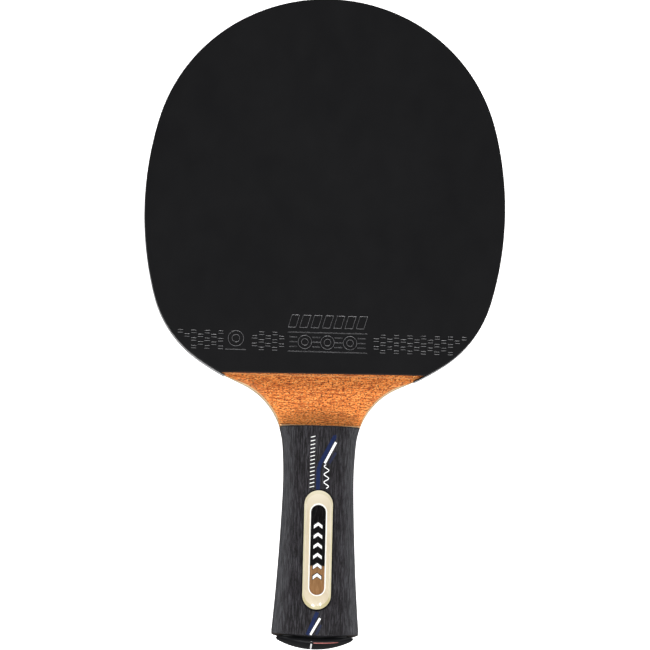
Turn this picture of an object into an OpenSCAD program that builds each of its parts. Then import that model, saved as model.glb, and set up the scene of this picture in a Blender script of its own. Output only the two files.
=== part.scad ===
// Table tennis paddle, lying flat with its black rubber up.
// X runs across the blade, Y runs from the butt to the crown of the head, and Z is up.
// The origin is under the middle of the paddle, on the surface that it lies on.

/* [Head outline] */
// Length of the head, from its crown to the lower edge of the rubbers
head_len = 157; // [150:0.5:162]
// Radius of the crown, at the tip of the head
crown_r = 74.8; // [72:0.2:78]
// How far the crown turns, in degrees
crown_turn = 28.8; // [26:0.2:31]
// Radius of the shoulder, between the crown and the side
shoulder_r = 70.6; // [68:0.2:74]
// How far the shoulder turns
shoulder_turn = 45.7; // [43:0.1:48]
// Radius of the long side of the head
side_r = 137; // [130:1:144]
// How far the side turns
side_turn = 31.2; // [29:0.2:33]
// Radius of the jaw, where the head turns in toward the handle
jaw_r = 46.3; // [44:0.1:49]
// How far the jaw turns
jaw_turn = 39.8; // [38:0.2:42]
// Radius of the flatter stretch under the jaw
chin_r = 105; // [95:1:115]
// How far the chin turns
chin_turn = 11.5; // [10:0.5:13]
// Radius of the hollow throat between head and handle
throat_r = 29.5; // [27:0.5:32]
// How far the throat turns back
throat_turn = 61.9; // [60:0.1:63]
// Radius of the narrow waist of the handle
waist_r = 170; // [140:5:200]
// How far the waist turns
waist_turn = 6.9; // [6:0.1:8]
// Radius of the flare toward the butt
flare_r = 1150; // [900:50:1400]

/* [Blade] */
// Thickness of the middle ply
core_t = 2.6; // [2:0.1:3.4]
// Thickness of each ply next to the core
inner_ply_t = 1; // [0.6:0.1:1.4]
// Thickness of each outer veneer
face_ply_t = 0.7; // [0.4:0.1:1]

/* [Rubbers] */
// Thickness of the glue film under each sponge
glue_t = 0.1; // [0.05:0.05:0.2]
// Thickness of each sponge
sponge_t = 2; // [1.5:0.1:2.2]
// Thickness of each topsheet
topsheet_t = 1.7; // [1.4:0.1:1.8]

/* [Edge tape] */
// Width of the tape around the rim
tape_w = 9; // [7:0.5:12]
// Thickness of the tape
tape_t = 0.25; // [0.15:0.05:0.5]
// How far the tape's ends run past the rubbers' lower edge
tape_overrun = 1.8; // [0:0.1:3]

/* [Handle] */
// Bare wood between the rubber and the handle, along the middle
throat_len = 22.3; // [18:0.1:26]
// Length of the handle along the middle
handle_len = 88.1; // [80:0.1:95]
// Thickness of each half of the grip
scale_t = 9; // [7.5:0.5:10]
// Squareness of the grip's section, where 2 is an ellipse
section_power = 2.3; // [2:0.1:3.2]
// Bevel around both ends of each half of the grip
end_bevel = 0.7; // [0.4:0.1:1.2]
// How far the butt bows out in the middle
butt_bow = 1.7; // [0.5:0.1:2.5]

/* [Lens] */
// Width of the oval bezel
bezel_w = 12.1; // [10:0.1:14]
// Length of the oval bezel
bezel_len = 50; // [40:0.1:56]
// Width of the window in the bezel
window_w = 6.2; // [5:0.1:7.5]
// Length of the window in the bezel
window_len = 37.7; // [30:0.1:42]
// Distance from the butt to the middle of the bezel
lens_from_butt = 36; // [33:0.5:42]
// Depth of the pocket that holds the lens
pocket_depth = 2; // [1.5:0.1:3]
// How far the middle of the bezel stands above the grip
bezel_proud = 0.9; // [0.5:0.1:1.2]
// Radius of the bezel's crowned top, across the handle
bezel_crown_r = 20; // [16:1:26]
// Thickness of the plate in the window
insert_t = 1.8; // [1.2:0.1:2.2]

/* [Butt cap] */
// Width of the cap
cap_w = 32.4; // [28:0.2:34]
// Thickness of the cap, across the blade
cap_t = 20.8; // [18:0.2:22]
// How far the cap stands out in the middle
cap_len = 4.6; // [3.6:0.1:5.5]
// Radius of the cap's domed face
cap_dome_r = 34; // [32:1:45]

/* [Hidden] */

// Heights of the layers above the middle of the blade.
inner_top = core_t / 2 + inner_ply_t;
blade_top = inner_top + face_ply_t;
glue_top = blade_top + glue_t;
sponge_top = glue_top + sponge_t;
grip_top = blade_top + scale_t;

// Heights and places in the paddle's frame.
mid_z = grip_top;
total_len = tape_t + head_len + throat_len + handle_len + cap_len;
crown_y = total_len / 2 - tape_t;
rubber_y = crown_y - head_len;
handle_y = rubber_y - throat_len;
butt_y = handle_y - handle_len;
lens_y = butt_y + lens_from_butt;

// Fineness of the curves: the widest turn and the longest run of one straight facet.
arc_step = 3;
arc_run = 8;
grip_rings = 26;
grip_sides = 28;

// Each arc is [radius, clockwise turn]; a negative turn curves the other way.
HEAD_ARCS = [[crown_r, crown_turn], [shoulder_r, shoulder_turn], [side_r, side_turn],
    [jaw_r, jaw_turn], [chin_r, chin_turn]];
HANDLE_ARCS = [[throat_r, -throat_turn], [waist_r, -waist_turn]];
head_heading = -(crown_turn + shoulder_turn + side_turn + jaw_turn + chin_turn);
flare_heading = head_heading + throat_turn + waist_turn;

// Points along one arc that starts at p with the given heading, without p itself.
function arc_points(p, heading, r, turn) =
    let (
        way = sign(turn),
        centre = p + way * r * [sin(heading), -cos(heading)],
        count = ceil(max(abs(turn) / arc_step, r * abs(turn) * PI / 180 / arc_run))
    )
    [for (k = [1 : count])
        let (h = heading - turn * k / count) centre + way * r * [-sin(h), cos(h)]];

// Points along a chain of tangent arcs.
function arc_chain(arcs, p, heading, i = 0) =
    i == len(arcs) ? [] :
    let (run = arc_points(p, heading, arcs[i][0], arcs[i][1]))
    concat(run, arc_chain(arcs, run[len(run) - 1], heading - arcs[i][1], i + 1));

function last(list) = list[len(list) - 1];
function reverse(list) = [for (k = [len(list) - 1 : -1 : 0]) list[k]];
function mirrored(half) = concat(half, reverse([for (p = half) if (p.x > 0) [-p.x, p.y]]));

// Right half of the blade's outline, from the crown down to the start of the flare.
crown = [0, crown_y];
head_run = arc_chain(HEAD_ARCS, crown, 0);
handle_run = arc_chain(HANDLE_ARCS, last(head_run), head_heading);
flare_start = last(handle_run);

// The flare turns as far as it takes to reach the corner of the butt.
corner_y = butt_y + butt_bow;
flare_centre_y = flare_start.y + flare_r * cos(flare_heading);
flare_turn = acos((flare_centre_y - corner_y) / flare_r) + flare_heading;
flare_run = arc_points(flare_start, flare_heading, flare_r, flare_turn);
SIDE = concat([crown], head_run, handle_run, flare_run);
butt_half_w = last(SIDE).x;

// Half width of the blade and the grip at a place along the paddle.
function half_w(y) = lookup(y, [for (p = SIDE) [p.y, p.x]]);

// How far the bowed butt is above its middle, at a place across it.
function bow(x) = butt_bow * pow(x / butt_half_w, 2);
butt_curve = [for (k = [9 : -1 : 0]) let (x = butt_half_w * k / 10) [x, butt_y + bow(x)]];

// Points of the right half of the head, or of the tape around it, down to a place along the paddle.
function head_half(grow, low) =
    let (
        start = [0, crown_y + grow],
        run = arc_chain([for (a = HEAD_ARCS) [a[0] + grow, a[1]]], start, 0),
        edge_x = half_w(low) + grow
    )
    concat([start], [for (p = run) if (p.y > low) p], [[edge_x, low]]);

module layer(bottom, top) {
    translate([0, 0, mid_z + bottom]) linear_extrude(top - bottom) children();
}

module blade_outline() {
    polygon(mirrored(concat(SIDE, butt_curve)));
}

module head_outline() {
    polygon(mirrored(head_half(0, rubber_y)));
}

module slot(w, l) {
    straight = l - w;
    translate([0, lens_y]) {
        square([w, straight], center = true);
        for (end = [-1, 1]) translate([0, end * straight / 2]) circle(d = w, $fn = 64);
    }
}

// One ring of points around half of the grip, from its right edge over the top to its left edge.
function grip_ring(y, inset) =
    let (w = half_w(y) - inset, t = scale_t - inset, down = (handle_y - y) / handle_len)
    [for (k = [0 : grip_sides])
        let (
            a = 180 * k / grip_sides,
            x = w * sign(cos(a)) * pow(abs(cos(a)), 2 / section_power),
            z = t * pow(sin(a), 2 / section_power)
        )
        [x, y + bow(x) * pow(down, 4), z]];

// Half of the grip, with its flat side down at z = 0.
module grip_half() {
    spots = concat([[0, end_bevel]], [for (k = [0 : grip_rings])
        [end_bevel + (handle_len - 2 * end_bevel) * k / grip_rings, 0]], [[handle_len, end_bevel]]);
    rings = [for (s = spots) grip_ring(handle_y - s[0], s[1])];
    n = grip_sides + 1;
    points = [for (r = rings, p = r) p];
    skin = [for (r = [0 : len(rings) - 2], k = [0 : n - 2])
        [r * n + k, r * n + k + 1, (r + 1) * n + k + 1, (r + 1) * n + k]];
    base = [for (r = [0 : len(rings) - 2]) [r * n + n - 1, r * n, (r + 1) * n, (r + 1) * n + n - 1]];
    top_end = [reverse([for (k = [0 : n - 1]) k])];
    butt_end = [for (k = [1 : n - 2])
        [(len(rings) - 1) * n, (len(rings) - 1) * n + k, (len(rings) - 1) * n + k + 1]];
    polyhedron(points, concat(skin, base, top_end, butt_end), convexity = 4);
}

module core_ply() {
    color("burlywood") layer(-core_t / 2, core_t / 2) blade_outline();
}

module front_inner_ply() {
    color("tan") layer(core_t / 2, inner_top) blade_outline();
}

module back_inner_ply() {
    color("tan") layer(-inner_top, -core_t / 2) blade_outline();
}

module front_face_veneer() {
    color("peru") layer(inner_top, blade_top) blade_outline();
}

module back_face_veneer() {
    color("peru") layer(-blade_top, -inner_top) blade_outline();
}

module front_glue_film() {
    color("ivory") layer(blade_top, glue_top) head_outline();
}

module back_glue_film() {
    color("ivory") layer(-glue_top, -blade_top) head_outline();
}

module front_sponge() {
    color("dimgray") layer(glue_top, sponge_top) head_outline();
}

module back_sponge() {
    color("dimgray") layer(-sponge_top, -glue_top) head_outline();
}

module front_topsheet() {
    color([0.12, 0.12, 0.13]) layer(sponge_top, sponge_top + topsheet_t) head_outline();
}

module back_topsheet() {
    color("firebrick") layer(-sponge_top - topsheet_t, -sponge_top) head_outline();
}

// The outline from one end of the tape, over the crown, to the other end.
function over_the_crown(grow) =
    let (half = head_half(grow, rubber_y - tape_overrun))
    concat(reverse(half), [for (p = half) if (p.x > 0) [-p.x, p.y]]);

module edge_tape() {
    color([0.2, 0.2, 0.21]) layer(-tape_w / 2, tape_w / 2)
        polygon(concat(over_the_crown(tape_t), reverse(over_the_crown(0))));
}

module front_handle_scale() {
    color([0.2, 0.19, 0.2]) difference() {
        translate([0, 0, mid_z + blade_top]) grip_half();
        layer(grip_top - pocket_depth, grip_top + 1) slot(bezel_w, bezel_len);
    }
}

module back_handle_scale() {
    color([0.2, 0.19, 0.2]) translate([0, 0, mid_z - blade_top]) mirror([0, 0, 1]) grip_half();
}

module lens_bezel() {
    crown_z = mid_z + grip_top + bezel_proud - bezel_crown_r;
    color("wheat") intersection() {
        layer(grip_top - pocket_depth, grip_top + bezel_proud + 1) difference() {
            slot(bezel_w, bezel_len);
            slot(window_w, window_len);
        }
        translate([0, lens_y, crown_z]) rotate([90, 0, 0])
            cylinder(r = bezel_crown_r, h = bezel_len + 10, center = true, $fn = 180);
    }
}

module lens_insert() {
    floor_z = grip_top - pocket_depth;
    color("sienna") layer(floor_z, floor_z + insert_t) slot(window_w, window_len);
}

module butt_cap() {
    section = [for (k = [0 : 47]) let (a = 360 * k / 48)
        [cap_w / 2 * sign(cos(a)) * pow(abs(cos(a)), 2 / section_power),
        cap_t / 2 * sign(sin(a)) * pow(abs(sin(a)), 2 / section_power)]];
    below_butt = concat([for (k = [-10 : 10]) let (x = butt_half_w * k / 10) [x, butt_y + bow(x)]],
        [[butt_half_w, butt_y - cap_len - 1], [-butt_half_w, butt_y - cap_len - 1]]);
    color([0.13, 0.13, 0.14]) intersection() {
        translate([0, butt_y + 5, mid_z]) rotate([90, 0, 0])
            linear_extrude(cap_len + 6) polygon(section);
        layer(-cap_t, cap_t) polygon(below_butt);
        translate([0, butt_y - cap_len + cap_dome_r, mid_z]) sphere(r = cap_dome_r, $fn = 200);
    }
}

core_ply();
front_inner_ply();
back_inner_ply();
front_face_veneer();
back_face_veneer();
front_glue_film();
back_glue_film();
front_sponge();
back_sponge();
front_topsheet();
back_topsheet();
edge_tape();
front_handle_scale();
back_handle_scale();
lens_bezel();
lens_insert();
butt_cap();
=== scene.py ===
"""Table tennis paddle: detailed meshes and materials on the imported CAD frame.

Lengths are in millimetres here; each mesh is turned into metres as it is made.
"""

import math

import bpy
from mathutils import Matrix, Vector


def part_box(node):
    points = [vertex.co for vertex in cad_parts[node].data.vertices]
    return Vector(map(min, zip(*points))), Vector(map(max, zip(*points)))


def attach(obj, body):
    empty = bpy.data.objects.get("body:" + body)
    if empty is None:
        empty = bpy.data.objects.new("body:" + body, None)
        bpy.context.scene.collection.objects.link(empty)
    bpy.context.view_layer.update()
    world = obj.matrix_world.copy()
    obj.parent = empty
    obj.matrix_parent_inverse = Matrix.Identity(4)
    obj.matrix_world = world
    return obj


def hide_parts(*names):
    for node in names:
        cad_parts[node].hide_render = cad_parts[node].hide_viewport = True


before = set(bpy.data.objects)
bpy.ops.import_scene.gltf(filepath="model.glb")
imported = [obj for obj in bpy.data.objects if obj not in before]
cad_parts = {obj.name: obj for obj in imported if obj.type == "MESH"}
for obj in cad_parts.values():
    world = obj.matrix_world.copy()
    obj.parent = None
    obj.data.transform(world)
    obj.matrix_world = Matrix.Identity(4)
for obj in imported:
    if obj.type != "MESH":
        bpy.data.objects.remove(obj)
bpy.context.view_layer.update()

MM = 0.001
BODY = "root"
SQUARE = ((-1, -1), (1, -1), (1, 1), (-1, 1))


# ---- places from the frame


def corners(node):
    """A CAD node's lowest and highest corner, in millimetres."""
    low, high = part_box(node)
    return [v / MM for v in low], [v / MM for v in high]


def half_outline(node):
    """The right half of a flat node's outline, from the crown toward the butt, as (x, y)."""
    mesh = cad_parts[node].data
    top = max(v.co.z for v in mesh.vertices)
    points = {
        (round(v.co.x / MM, 2), round(v.co.y / MM, 2))
        for v in mesh.vertices
        if v.co.z > top - 1e-6 and v.co.x > -1e-6
    }
    return sorted(points, key=lambda p: -p[1])


CORE_LOW, CORE_HIGH = corners("core_ply")
HEAD_LOW, HEAD_HIGH = corners("front_topsheet")
GRIP_LOW, GRIP_HIGH = corners("front_handle_scale")
BEZEL_LOW, BEZEL_HIGH = corners("lens_bezel")
PLATE_LOW, PLATE_HIGH = corners("lens_insert")
CAP_LOW, CAP_HIGH = corners("butt_cap")
TAPE_LOW, TAPE_HIGH = corners("edge_tape")

MID_Z = (CORE_LOW[2] + CORE_HIGH[2]) / 2
BLADE_TOP = corners("front_face_veneer")[1][2]
INNER_TOP = corners("front_inner_ply")[1][2]
CORE_TOP = CORE_HIGH[2]
GLUE_TOP = corners("front_glue_film")[1][2]
SPONGE_TOP = corners("front_sponge")[1][2]
RUBBER_TOP = HEAD_HIGH[2]
GRIP_TOP = GRIP_HIGH[2]

CROWN_Y = HEAD_HIGH[1]
RUBBER_Y = HEAD_LOW[1]
GRIP_Y = GRIP_HIGH[1]
BUTT_Y = GRIP_LOW[1]
LENS_Y = (BEZEL_LOW[1] + BEZEL_HIGH[1]) / 2


# ---- curves


def smooth_run(points, spacing):
    """A smooth curve through points, with a new point about every spacing millimetres."""
    known = [(-points[1][0], points[1][1]), *points, points[-1]]

    def slope(i):
        """Direction of the curve at one known point."""
        a, b, c = known[i - 1], known[i], known[i + 1]
        before, after = math.dist(a, b), math.dist(b, c)
        if after < 1e-6:
            return [(b[k] - a[k]) / before for k in (0, 1)]
        return [
            ((b[k] - a[k]) / before * after + (c[k] - b[k]) / after * before) / (before + after)
            for k in (0, 1)
        ]

    run = []
    for i in range(1, len(points)):
        a, b = known[i], known[i + 1]
        span = math.dist(a, b)
        sa, sb = slope(i), slope(i + 1)
        steps = max(1, round(span / spacing))
        for s in range(steps):
            t = s / steps
            h = (2 * t**3 - 3 * t**2 + 1, t**3 - 2 * t**2 + t, 3 * t**2 - 2 * t**3, t**3 - t**2)
            run.append(tuple(
                h[0] * a[k] + h[1] * span * sa[k] + h[2] * b[k] + h[3] * span * sb[k]
                for k in (0, 1)
            ))
    run.append(points[-1])
    return run


def mirrored(half):
    """The whole loop of a half outline that starts and may end on the middle line."""
    return half + [(-x, y) for x, y in reversed(half) if x > 1e-6]


def inward(loop):
    """Unit vectors that point into a clockwise loop, one per point."""
    result = []
    n = len(loop)
    for i in range(n):
        (ax, ay), (bx, by) = loop[i - 1], loop[(i + 1) % n]
        dx, dy = bx - ax, by - ay
        size = math.hypot(dx, dy) or 1
        result.append((dy / size, -dx / size))
    return result


def rightward(run):
    """Unit vectors to the right of an open line of points, one per point."""
    result = []
    for before, after in zip(run[:1] + run[:-1], run[1:] + run[-1:]):
        dx, dy = after[0] - before[0], after[1] - before[1]
        size = math.hypot(dx, dy)
        result.append((dy / size, -dx / size))
    return result


def at(table, y):
    """Half width at a place along the paddle, read from a half outline."""
    for (ax, ay), (bx, by) in zip(table, table[1:]):
        if by <= y <= ay:
            return ax + (bx - ax) * (ay - y) / max(ay - by, 1e-9)
    return table[0][0] if y > table[0][1] else table[-1][0]


def ease(t):
    """Smooth step from 0 to 1."""
    t = min(max(t, 0.0), 1.0)
    return t * t * (3 - 2 * t)


CORNER = max((p for p in half_outline("core_ply") if p[1] < GRIP_Y), key=lambda p: p[0])
CAD_SIDE = [p for p in half_outline("core_ply") if p[1] >= CORNER[1] - 1e-6]
SIDE = smooth_run(CAD_SIDE, spacing=1.2)
BUTT_HALF_W = CORNER[0]
BOW = CORNER[1] - BUTT_Y


def bow(x):
    """How far the bowed butt lies above its middle."""
    return BOW * (x / BUTT_HALF_W) ** 2


BUTT_CURVE = [(x, BUTT_Y + bow(x)) for x in (BUTT_HALF_W * k / 16 for k in range(15, -1, -1))]
BLADE_LOOP = mirrored(SIDE + BUTT_CURVE)
SKEW = 0.01
CORNER_DROP = SKEW * at(SIDE, RUBBER_Y)


def head_side(corner_y):
    """The outline's right half from the crown to one lower corner of the rubbers."""
    return [p for p in SIDE if p[1] > corner_y + 0.4] + [(at(SIDE, corner_y), corner_y)]


def rubber_edge(x):
    """The rubbers' lower edge, cut by hand and so very slightly out of square."""
    return RUBBER_Y + SKEW * x


RIGHT_SIDE = head_side(RUBBER_Y + CORNER_DROP)
LEFT_SIDE = [(-x, y) for x, y in head_side(RUBBER_Y - CORNER_DROP)]
LOWER_EDGE = [(x, rubber_edge(x)) for x in (RIGHT_SIDE[-1][0] * k / 24 for k in range(23, -24, -1))]
HEAD_LOOP = RIGHT_SIDE + LOWER_EDGE + LEFT_SIDE[:0:-1]


# ---- mesh building


def mesh_of(name, verts, faces):
    """A mesh in metres from places in millimetres."""
    mesh = bpy.data.meshes.new(name)
    mesh.from_pydata([(x * MM, y * MM, z * MM) for x, y, z in verts], [], faces)
    return mesh


def placed(name, data):
    """A new object in the scene."""
    obj = bpy.data.objects.new(name, data)
    bpy.context.scene.collection.objects.link(obj)
    return obj


def piece(name, verts, faces, materials, replaces=(), slot=None, face_slots=None, sharp=32):
    """A mesh object that rides on the body."""
    mesh = mesh_of(name, verts, faces)
    for m in materials:
        mesh.materials.append(m)
    if face_slots:
        mesh.polygons.foreach_set("material_index", face_slots)
    mesh.validate()
    mesh.polygons.foreach_set("use_smooth", [True] * len(mesh.polygons))
    mesh.set_sharp_from_angle(angle=math.radians(sharp))
    obj = placed(name, mesh)
    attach(obj, BODY)
    if replaces:
        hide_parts(*replaces)
    return obj


def loft(rings, caps=True):
    """Vertices and faces of a skin over rings of equal length, capped with flat faces."""
    n = len(rings[0])
    verts = [p for ring in rings for p in ring]
    faces = []
    for r in range(len(rings) - 1):
        for k in range(n):
            a, b = r * n + k, r * n + (k + 1) % n
            faces.append((a, b, b + n, a + n))
    if caps:
        faces.append(tuple(reversed(range(n))))
        faces.append(tuple((len(rings) - 1) * n + k for k in range(n)))
    return verts, faces


def join(parts):
    """Several (verts, faces) as one."""
    verts, faces = [], []
    for v, f in parts:
        start = len(verts)
        verts += v
        faces += [tuple(i + start for i in face) for face in f]
    return verts, faces


def level(loop, z):
    """A loop of x, y places at one height."""
    return [(x, y, z) for x, y in loop]


def ring_at(loop, normals, z, inset):
    """A loop moved inward; inset is a number or a function of y."""
    far = inset if callable(inset) else (lambda y: inset)
    return [(x + nx * far(y), y + ny * far(y), z) for (x, y), (nx, ny) in zip(loop, normals)]


FLAT_MARGIN = 0.5


def sheet_block(loop, bottom, top, round_bottom, round_top):
    """A flat block with rounded rims and a flat margin inside each rim."""
    normals = inward(loop)
    turns = [math.radians(22.5 * s) for s in range(5)]
    levels = [(bottom, round_bottom + FLAT_MARGIN)]
    levels += [(bottom + round_bottom * (1 - math.sin(a)), round_bottom * (1 - math.cos(a)))
               for a in reversed(turns)]
    levels += [(top - round_top * (1 - math.sin(a)), round_top * (1 - math.cos(a)))
               for a in turns]
    levels.append((top, round_top + FLAT_MARGIN))
    return loft([ring_at(loop, normals, z, inset) for z, inset in levels])


# ---- materials


class Paint:
    """A material whose nodes are added with short calls. Textures read the paddle's own frame."""

    def __init__(self, name, **sockets):
        """A new material; the keywords are the shader's own inputs, with _ for a space."""
        self.material = bpy.data.materials.new(name)
        self.material.use_nodes = True
        self.nodes = self.material.node_tree.nodes
        self.links = self.material.node_tree.links
        self.shader = self.nodes["Principled BSDF"]
        self.place = self.nodes.new("ShaderNodeTexCoord").outputs["Object"]
        for socket, value in sockets.items():
            self.shader.inputs[socket.replace("_", " ")].default_value = value

    def put(self, kind, settings=None, **inputs):
        """Adds a node with its properties and inputs; an input is a name, or i0, i1 and so on."""
        node = self.nodes.new("ShaderNode" + kind)
        for key, value in (settings or {}).items():
            setattr(node, key, value)
        for key, value in inputs.items():
            numbered = key[0] == "i" and key[1:].isdigit()
            self.give(node.inputs[int(key[1:]) if numbered else key.replace("_", " ")], value)
        return node

    def give(self, socket, value):
        """Links a socket to another node's output, or sets its value."""
        if isinstance(value, bpy.types.NodeSocket):
            self.links.new(value, socket)
        else:
            socket.default_value = value

    def stretched(self, x, y, z):
        """Coordinates in units of x, y and z millimetres."""
        scale = (1 / (x * MM), 1 / (y * MM), 1 / (z * MM))
        return self.put("Mapping", Vector=self.place, Scale=scale).outputs["Vector"]

    def noise(self, x, y, z, detail=2.0, rough=0.5, distortion=0.0):
        """Noise, from 0 to 1, whose blobs are about x by y by z millimetres."""
        return self.put(
            "TexNoise", Vector=self.stretched(x, y, z), Scale=1.0, Detail=detail,
            Roughness=rough, Distortion=distortion).outputs["Fac"]

    def cells(self, size):
        """Distance to the nearest of random points about size millimetres apart."""
        return self.put(
            "TexVoronoi", Vector=self.stretched(size, size, size), Scale=1.0).outputs["Distance"]

    def ramp(self, value, stops, constant=False):
        """A colour ramp from (place, colour) stops."""
        node = self.put("ValToRGB", Fac=value)
        node.color_ramp.interpolation = "CONSTANT" if constant else "LINEAR"
        elements = node.color_ramp.elements
        while len(elements) < len(stops):
            elements.new(0.5)
        for element, (place, colour) in zip(elements, stops):
            element.position = place
            element.color = (*colour, 1)
        return node.outputs["Color"]

    def span(self, value, low, high, to_low=0.0, to_high=1.0):
        """Value mapped from one range to another and kept inside it."""
        return self.put(
            "MapRange", i0=value, i1=low, i2=high, i3=to_low, i4=to_high).outputs["Result"]

    def math(self, operation, a, b=0.0):
        """One operation on one or two values."""
        return self.put("Math", {"operation": operation}, i0=a, i1=b).outputs["Value"]

    def mix(self, fac, a, b):
        """Two colours mixed."""
        node = self.nodes.new("ShaderNodeMix")
        node.data_type = "RGBA"
        for socket, value in ((node.inputs[0], fac), (node.inputs[6], a), (node.inputs[7], b)):
            self.give(socket, (*value, 1) if isinstance(value, tuple) else value)
        return node.outputs[2]

    def axis(self, name):
        """One coordinate of the frame, in millimetres."""
        split = self.put("SeparateXYZ", Vector=self.place)
        return self.math("MULTIPLY", split.outputs[name], 1 / MM)

    def bump(self, height, depth):
        """Adds relief, with depth in millimetres, on top of any relief that is there."""
        under = self.shader.inputs["Normal"]
        node = self.put("Bump", Height=height, Distance=depth * MM, Strength=1.0)
        if under.is_linked:
            self.links.new(under.links[0].from_socket, node.inputs["Normal"])
        self.links.new(node.outputs["Normal"], under)

    def away(self, axis, place):
        """Distance from a place on one axis, in millimetres."""
        return self.math("ABSOLUTE", self.math("SUBTRACT", self.axis(axis), place))

    def near_y(self, y, reach, most):
        """Mask that is strongest at a place along the paddle."""
        return self.span(self.away("Y", y), 0.0, reach, most, 0.0)

    def stained(self, colour):
        """Colour that turns to dark stain where the grip is."""
        under_grip = self.span(self.axis("Y"), GRIP_Y - 0.6, GRIP_Y - 0.2, 1.0, 0.0)
        return self.mix(under_grip, colour, (0.050, 0.036, 0.026))

    def to(self, socket, value):
        """Links a value to one of the shader's inputs."""
        self.links.new(value, self.shader.inputs[socket])


def rubber(name, dark, light):
    """Matte rubber: slight cloudiness, a very fine tooth and a hint of handling marks."""
    p = Paint(name, Specular_IOR_Level=0.125)
    clouds = p.noise(38, 46, 20, detail=3)
    p.to("Base Color", p.ramp(clouds, [(0.3, dark), (0.7, light)]))
    wear = p.noise(9, 14, 9, detail=4, rough=0.6)
    p.to("Roughness", p.span(wear, 0.3, 0.75, 0.42, 0.5))
    p.bump(p.noise(0.5, 0.5, 0.5, detail=2), 0.012)
    p.bump(p.noise(30, 30, 30, detail=1), 0.05)
    return p.material


def highlighted_edge(name, dark, light):
    """Sloped sides of moulded marks: smoother than the sheet and painted lighter, a painted highlight.
    """
    p = Paint(name, Specular_IOR_Level=0.8)
    edge_mottle = p.noise(1.6, 1.6, 1.6, detail=3)
    p.to("Base Color", p.ramp(edge_mottle, [(0.3, dark), (0.7, light)]))
    p.to("Roughness", p.span(edge_mottle, 0.3, 0.7, 0.26, 0.4))
    p.bump(p.noise(0.4, 0.4, 0.4), 0.01)
    return p.material


def foam(name, dark, light):
    """Open-cell foam at a cut edge."""
    p = Paint(name, Roughness=0.92, Specular_IOR_Level=0.2)
    cells = p.cells(0.32)
    p.to("Base Color", p.ramp(cells, [(0.0, dark), (0.75, light)]))
    p.bump(cells, 0.12)
    p.bump(p.noise(3, 3, 1.2, detail=3), 0.1)
    return p.material


def taped():
    """Black cloth-backed edge tape with two silver stripes."""
    p = Paint("tape", Specular_IOR_Level=0.25)
    black, silver = (0.006, 0.006, 0.0065), (0.85, 0.85, 0.86)
    height = p.span(p.axis("Z"), TAPE_LOW[2], TAPE_HIGH[2])
    stripes = p.ramp(height, [(0.0, black), (0.24, silver), (0.44, black), (0.56, silver),
                              (0.76, black)], constant=True)
    scuffs = p.noise(5, 5, 2, detail=5, rough=0.65)
    p.to("Base Color", p.mix(p.span(scuffs, 0.55, 0.8, 0.0, 0.25), stripes, (0.10, 0.10, 0.10)))
    p.to("Roughness", p.span(scuffs, 0.3, 0.7, 0.4, 0.55))
    weave = p.math("MULTIPLY", p.noise(0.35, 0.35, 3), p.noise(2.5, 2.5, 0.3))
    p.bump(weave, 0.03)
    return p.material


def veneer():
    """Orange-tan veneer thick with short dark cross pores, stained dark under the grip; painted light
    before the grip and below the rubbers.
    """
    p = Paint("face_veneer", Specular_IOR_Level=0.3)
    broad = p.noise(9, 5, 4, detail=3, rough=0.55)
    base = p.ramp(broad, [(0.3, (0.76, 0.192, 0.028)), (0.5, (0.82, 0.224, 0.036)),
                          (0.75, (0.88, 0.268, 0.050))])
    fleck = p.noise(1.2, 0.45, 0.6, detail=3, rough=0.65, distortion=0.1)
    base = p.mix(p.span(fleck, 0.5, 0.62, 0.0, 0.9), base, (0.93, 0.45, 0.135))
    streak = p.noise(3.0, 0.45, 0.7, detail=3, rough=0.6)
    base = p.mix(p.span(streak, 0.49, 0.58, 0.0, 0.85), base, (0.40, 0.075, 0.008))
    pores = p.noise(0.9, 0.42, 0.5, detail=3, rough=0.6, distortion=0.1)
    pore_mask = p.span(pores, 0.535, 0.58)
    base = p.mix(p.math("MULTIPLY", pore_mask, 0.95), base, (0.10, 0.015, 0.002))
    half = BLADE_TOP - MID_Z
    sanded = p.span(p.away("Z", MID_Z), half - 1.1, half - 0.03, 0.7, 0.0)
    base = p.mix(sanded, base, (0.66, 0.25, 0.065))
    # Painted light: a faint golden glow before the grip lifts the grip's cast shadow.
    base = p.mix(p.near_y(GRIP_Y + 2.0, 8.0, 0.2), base, (0.97, 0.38, 0.085))
    base = p.mix(p.near_y(GRIP_Y + 0.6, 0.4, 0.9), base, (0.98, 0.72, 0.42))
    # Painted highlight: a pale line just below the rubbers' lower edge.
    base = p.mix(p.near_y(RUBBER_Y - 0.75, 0.35, 0.35), base, (0.95, 0.52, 0.22))
    p.to("Base Color", p.stained(base))
    p.to("Roughness", p.span(broad, 0.3, 0.7, 0.5, 0.62))
    p.bump(pore_mask, -0.05)
    p.bump(streak, 0.03)
    return p.material


def ply_edge(name, dark, light):
    """A ply seen at its edge: fine lines along the layer."""
    p = Paint(name, Roughness=0.62, Specular_IOR_Level=0.3)
    lines = p.noise(7, 7, 0.14, detail=3, rough=0.6)
    colour = p.ramp(lines, [(0.32, dark), (0.68, light)])
    ends = p.noise(0.5, 0.5, 0.5, detail=2)
    p.to("Base Color", p.stained(p.mix(p.span(ends, 0.6, 0.75, 0.0, 0.3), colour, dark)))
    p.bump(lines, 0.03)
    return p.material


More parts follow.
